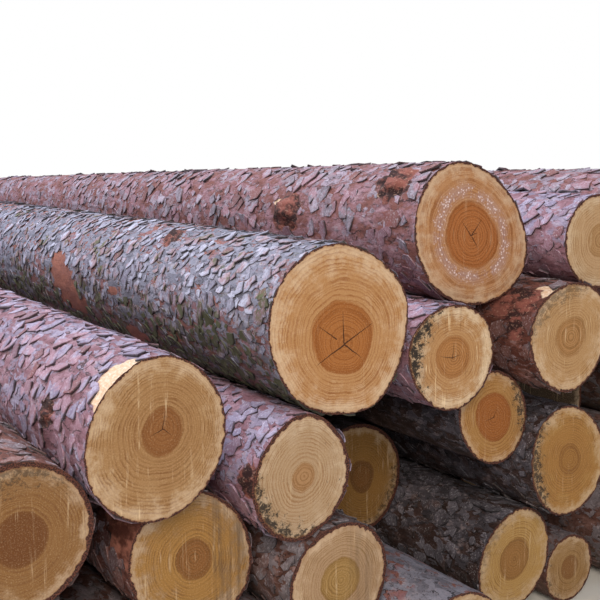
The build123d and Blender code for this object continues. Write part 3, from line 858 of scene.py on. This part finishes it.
# Sawn faces by log: name, colours of the sapwood, its dry patches, heart and
# ring, and what else sets the face apart
FACES = {
    "top_log": ("orange", "#a97b54 #b48f70 #9a5a2a #7c4519", dict(
        radius_mm=138, ring_mm=6.2, heart_share=0.46, saw=0.2, resin=0.9, rim_mm=4.5, seed=0.3,
        cracks=((48, 0, 40), (128, 0, 36), (-58, 2, 30), (20, 2, 16)), crack_mm=2.0)),
    "big_middle_log": ("tan", "#ac8054 #bf9c78 #995c28 #824a1c", dict(
        radius_mm=147, ring_mm=6.4, heart_share=0.44, saw=0.12, rim_mm=3.5, seed=1.1,
        cracks=((28, 0, 66), (208, 0, 62), (92, 2, 56), (-36, 0, 44), (145, 18, 62)), crack_mm=2.4)),
    "left_front_log": ("gold", "#95714a #a4845e #7d4e27 #6c421e", dict(
        radius_mm=123, ring_mm=5.4, heart_share=0.30, saw=0.6, saw_deg=-72, rim_mm=3.5, seed=2.2,
        cracks=((80, 0, 26), (200, 0, 22), (-40, 0, 18)))),
    "middle_log": ("middle", "#a58a6c #b39c82 #9c7650 #86603c", dict(
        radius_mm=102, heart_share=0.24, saw=0.3, saw_deg=75, mould=0.95, mould_deg=225, rim_mm=7, seed=3.0)),
    "upper_inner_log": ("inner", "#aa8156 #cdb698 #a06e3e #80512a", dict(
        radius_mm=101, heart_share=0.4, saw=1.0, saw_deg=12, mould=1.0, mould_deg=165, rim_mm=4, seed=4.0,
        cracks=((85, 0, 30), (10, 0, 18), (170, 0, 30)))),
    "small_inner_log": ("small", "#98703f #a27c4e #8c5122 #78431a", dict(
        radius_mm=92, heart_share=0.52, saw=0.15, mould=0.9, mould_deg=20, rim_mm=5, seed=5.5,
        cracks=((60, 0, 20), (190, 0, 22)))),
    "upper_right_log": ("upper", "#a9855c #b89a78 #9e7448 #805a32", dict(
        radius_mm=107, heart_share=0.36, saw=0.6, saw_deg=38, mould=0.5, mould_deg=120, rim_mm=5, seed=6.6)),
    "right_middle_log": ("ochre", "#966c38 #a07c48 #8f6532 #744c22", dict(
        radius_mm=111, heart_share=0.3, saw=0.25, saw_deg=120, mould=0.9, mould_deg=180, rim_mm=4, seed=7.1)),
    "skewed_right_log": ("skewed", "#a7844f #b0926a #8a6034 #78552c", dict(
        radius_mm=105, heart_share=0.42, saw=0.4, saw_deg=85, mould=0.4, mould_deg=150, rim_mm=5, seed=8.0)),
    "lower_middle_log": ("two_tone", "#a08366 #b09478 #987844 #7c5c30", dict(
        radius_mm=103, heart_share=0.4, saw=0.5, saw_deg=72, stain=0.4, rim_mm=7, seed=8.9)),
    "lower_front_log": ("streaked", "#97703c #94785a #7a4e28 #684420", dict(
        radius_mm=115, heart_share=0.3, saw=0.5, saw_deg=-72, stain=0.8, rim_mm=5, seed=9.7)),
    "recessed_log": ("shaded", "#85602f #8c6a3e #6e4722 #5c3d1c", dict(
        radius_mm=116, heart_share=0.3, saw=0.5, saw_deg=5, mould=0.7, mould_deg=330, rim_mm=8, seed=10.4)),
    # Darker sapwood and heart: the face's own brown with painted shade on top
    "lower_left_log": ("brown_painted_shade", "#805c36 #886846 #5c3418 #66401f", dict(
        radius_mm=115, heart_share=0.36, saw=0.35, saw_deg=100, mould=0.6, mould_deg=100, rim_mm=8, seed=12.1)),
    "far_right_top_log": ("far", "#ad8d6a #b89e7e #a27e56 #84603a", dict(
        radius_mm=97, heart_share=0.36, saw=0.4, saw_deg=35, rim_mm=5, seed=11.2)),
    # Near-black sapwood, heart and rings: painted shade on the face of a log deep in the pile
    "second_row_log_8": ("deep_painted_shade", "#2a2118 #30261c #241b12 #1f160e", dict(
        radius_mm=110, heart_share=0.3, saw=0.3, mould=0.8, mould_deg=60, rim_mm=6, seed=14.2)),
    "plain": ("plain", "#907048 #9c8060 #7a522c #6c4a28", dict(
        radius_mm=115, heart_share=0.36, saw=0.4, saw_deg=40, mould=0.6, mould_deg=200, rim_mm=5, seed=13.0)),
}
WOODS = {log: end_grain("pine_end_" + row[0], *row[1].split(), **row[2]) for log, row in FACES.items()}


def flake_sizes(spacing_mm, shortest_mm, longest_mm, lift_deg, turn_deg):
    return dict(
        spacing_mm=spacing_mm, shortest_mm=shortest_mm, longest_mm=longest_mm, lift_deg=lift_deg, turn_deg=turn_deg
    )


# Fineness of each log's grid, its bark and its loose plates; the sawn face is
# named after the log, or is the plain one. Scars: kind, distance behind the
# face in mm, direction in degrees, half length and half width in mm
HERO = dict(
    columns=136, rows=165, knot_mm=14, side=1.4, stretch=1.6, plate_mm=46, scale_mm=18, depth_mm=2.2, lift_mm=1.2,
    flakes=flake_sizes(17.5, 18, 52, 9, 34),
)
SEEN = dict(
    columns=104, rows=70, knot_mm=9, side=0.8, stretch=2.2, plate_mm=42, scale_mm=20, depth_mm=2.2, lift_mm=1.2,
    flakes=flake_sizes(26, 26, 64, 7, 38),
)
SHADED = dict(SEEN, rows=50, flakes=None)
LOOKS = {
    "top_log": dict(
        HERO, bark="red", pith=(-0.02, -0.02), stations=(0.085, 0.11, 0.135, 0.17, 0.42, 0.48, 0.51),
        flakes=flake_sizes(26, 18, 64, 8, 55),
        scars=(("knot", 108, 138, 46, 34), ("knot", 461, 168, 50, 38), ("bare", 500, 158, 24, 8),
               ("bare", 118, 149, 26, 7)),
    ),
    "big_middle_log": dict(
        HERO, bark="slate", plate_mm=38, scale_mm=16, pith=(0.05, -0.16), stations=(0.48, 0.52),
        scars=(("knot", 484, 122, 26, 24), ("peeled", 1010, 164, 40, 26), ("peeled", 985, 175, 66, 28),
               ("peeled", 955, 188, 84, 30), ("peeled", 920, 202, 84, 28), ("peeled", 600, -142, 50, 22),
               ("peeled", 380, 205, 24, 9), ("peeled", 660, 178, 26, 9)),
    ),
    "left_front_log": dict(
        HERO, bark="pink", plate_mm=50, pith=(0.08, 0.13), flakes=flake_sizes(25, 20, 66, 7, 60),
        scars=(("bare", 6, 126, 44, 44), ("knot", 176, 171, 24, 30)),
    ),
    "middle_log": dict(SEEN, bark="pink", scars=(("peeled", 50, 60, 50, 26), ("knot", 16, 176, 26, 30))),
    "upper_inner_log": dict(SEEN, bark="pink"),
    "upper_right_log": dict(
        SEEN, bark="rust", scars=(("knot", 70, 140, 60, 36), ("bare", 14, 118, 30, 22), ("knot", 40, 170, 22, 20)),
    ),
    "far_right_top_log": dict(SEEN, bark="pink"),
    "skewed_right_log": dict(
        SEEN, columns=120, rows=100, bark="dark_painted_shade", plate_mm=30, depth_mm=4.5, scale_mm=16, pith=(0.0, 0.0)
    ),
    "right_middle_log": dict(SEEN, bark="dark_painted_shade", depth_mm=4.0),
    "small_inner_log": dict(SHADED, bark="dark_painted_shade"),
    "recessed_log": dict(SHADED, bark="dark_painted_shade"),
    "lower_middle_log": dict(SEEN, bark="plain"),
    "lower_front_log": dict(SEEN, bark="rust", scars=(("peeled", 40, 150, 70, 60),)),
    "lower_left_log": dict(SEEN, bark="rust", scars=(("knot", 6, -13, 20, 22),)),
    "bottom_right_log": dict(SHADED, bark="plain"),
    "back_top_log": dict(SEEN, bark="red"),
    "bottom_row_log_5": dict(SHADED, bark="slate"),
}
OTHER = dict(
    columns=48, rows=30, knot_mm=8, side=0.0, stretch=1.2, bark="plain", plate_mm=60, scale_mm=34, depth_mm=3.0,
    lift_mm=1.2,
)

flake_box = bpy.data.collections.new("flake_shapes")
for number in range(FLAKE_SHAPES):
    flake_box.objects.link(flake_shape(number))
scatter_tree, scatter_inputs = flake_scatter()

for number, name in enumerate(sorted(frame["nodes"])):
    look = dict(pith=(0.03, 0.02), scars=(), stations=(), flakes=None, seed=SEED + 3.7 * number)
    look.update(LOOKS.get(name, OTHER))
    finish = look["bark"]
    look["bark"] = BARKS[finish]
    look["wood"] = WOODS.get(name, WOODS["plain"])
    stem, face, rear = dress(name, look)
    pieces = [stem]
    if look["flakes"]:
        pieces.append(lay_flakes(stem, face, rear, name, SKINS[finish], seed=SEED + number, **look["flakes"]))
    for piece in pieces:
        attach(piece, "root")
        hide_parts(name)
for shape in list(flake_box.objects):
    bpy.data.objects.remove(shape)
bpy.data.collections.remove(flake_box)
bpy.data.node_groups.remove(scatter_tree)

# Pale floor, white surroundings, and soft light from the front left and above
floor_material, _, floor_shader = new_material("pale_floor")
floor_shader.inputs["Base Color"].default_value = linear("#e9e7e3")
floor_shader.inputs["Roughness"].default_value = 0.9
bpy.ops.mesh.primitive_plane_add(size=60, location=(0, 0, 0))
floor = bpy.context.object
floor.name = "floor"
floor.data.materials.append(floor_material)

world = bpy.data.worlds.new("studio")
bpy.context.scene.world = world
world.use_nodes = True
world.node_tree.nodes.clear()
sky = Recipe(world.node_tree)
rays = sky.add("ShaderNodeLightPath").outputs
seen = sky.calc("MAXIMUM", rays["Is Camera Ray"], rays["Is Glossy Ray"])
seen = sky.calc("MAXIMUM", seen, rays["Is Transmission Ray"])
soft = sky.add("ShaderNodeBackground", inputs={"Color": linear("#dfe6f0"), "Strength": 0.3})
white = sky.add("ShaderNodeBackground", inputs={"Color": (1, 1, 1, 1), "Strength": 1.0})
both = sky.add("ShaderNodeMixShader", inputs={0: seen, 1: soft.outputs[0], 2: white.outputs[0]})
sky.add("ShaderNodeOutputWorld", inputs={"Surface": both.outputs[0]})


def soft_light(name, place, target, size, power, colour):
    data = bpy.data.lights.new(name, "AREA")
    data.shape = "DISK"
    data.size = size
    data.energy = power
    data.color = linear(colour)[:3]
    lamp = bpy.data.objects.new(name, data)
    lamp.location = place
    lamp.rotation_euler = (Vector(target) - Vector(place)).to_track_quat("-Z", "Y").to_euler()
    bpy.context.scene.collection.objects.link(lamp)


soft_light("front_light", (-3.5, -7.0, 3.6), (0.0, -1.8, 0.4), 3.2, 365, "#fff3e2")
soft_light("sky_light", (-2.0, 1.0, 6.0), (0.0, 0.0, 0.5), 4.5, 480, "#eaf1ff")

camera_data = bpy.data.cameras.new("photo_camera")
camera_data.lens = CAMERA_LENS_MM
camera_data.sensor_width = CAMERA_SENSOR_MM
camera_data.clip_start = 0.05
camera = bpy.data.objects.new("photo_camera", camera_data)
camera.location = CAMERA_PLACE
camera.rotation_euler = Euler((math.radians(90 - CAMERA_PITCH_DEG), 0, -math.radians(CAMERA_YAW_DEG)))
bpy.context.scene.collection.objects.link(camera)
bpy.context.scene.camera = camera
bpy.context.scene.view_settings.view_transform = "Standard"
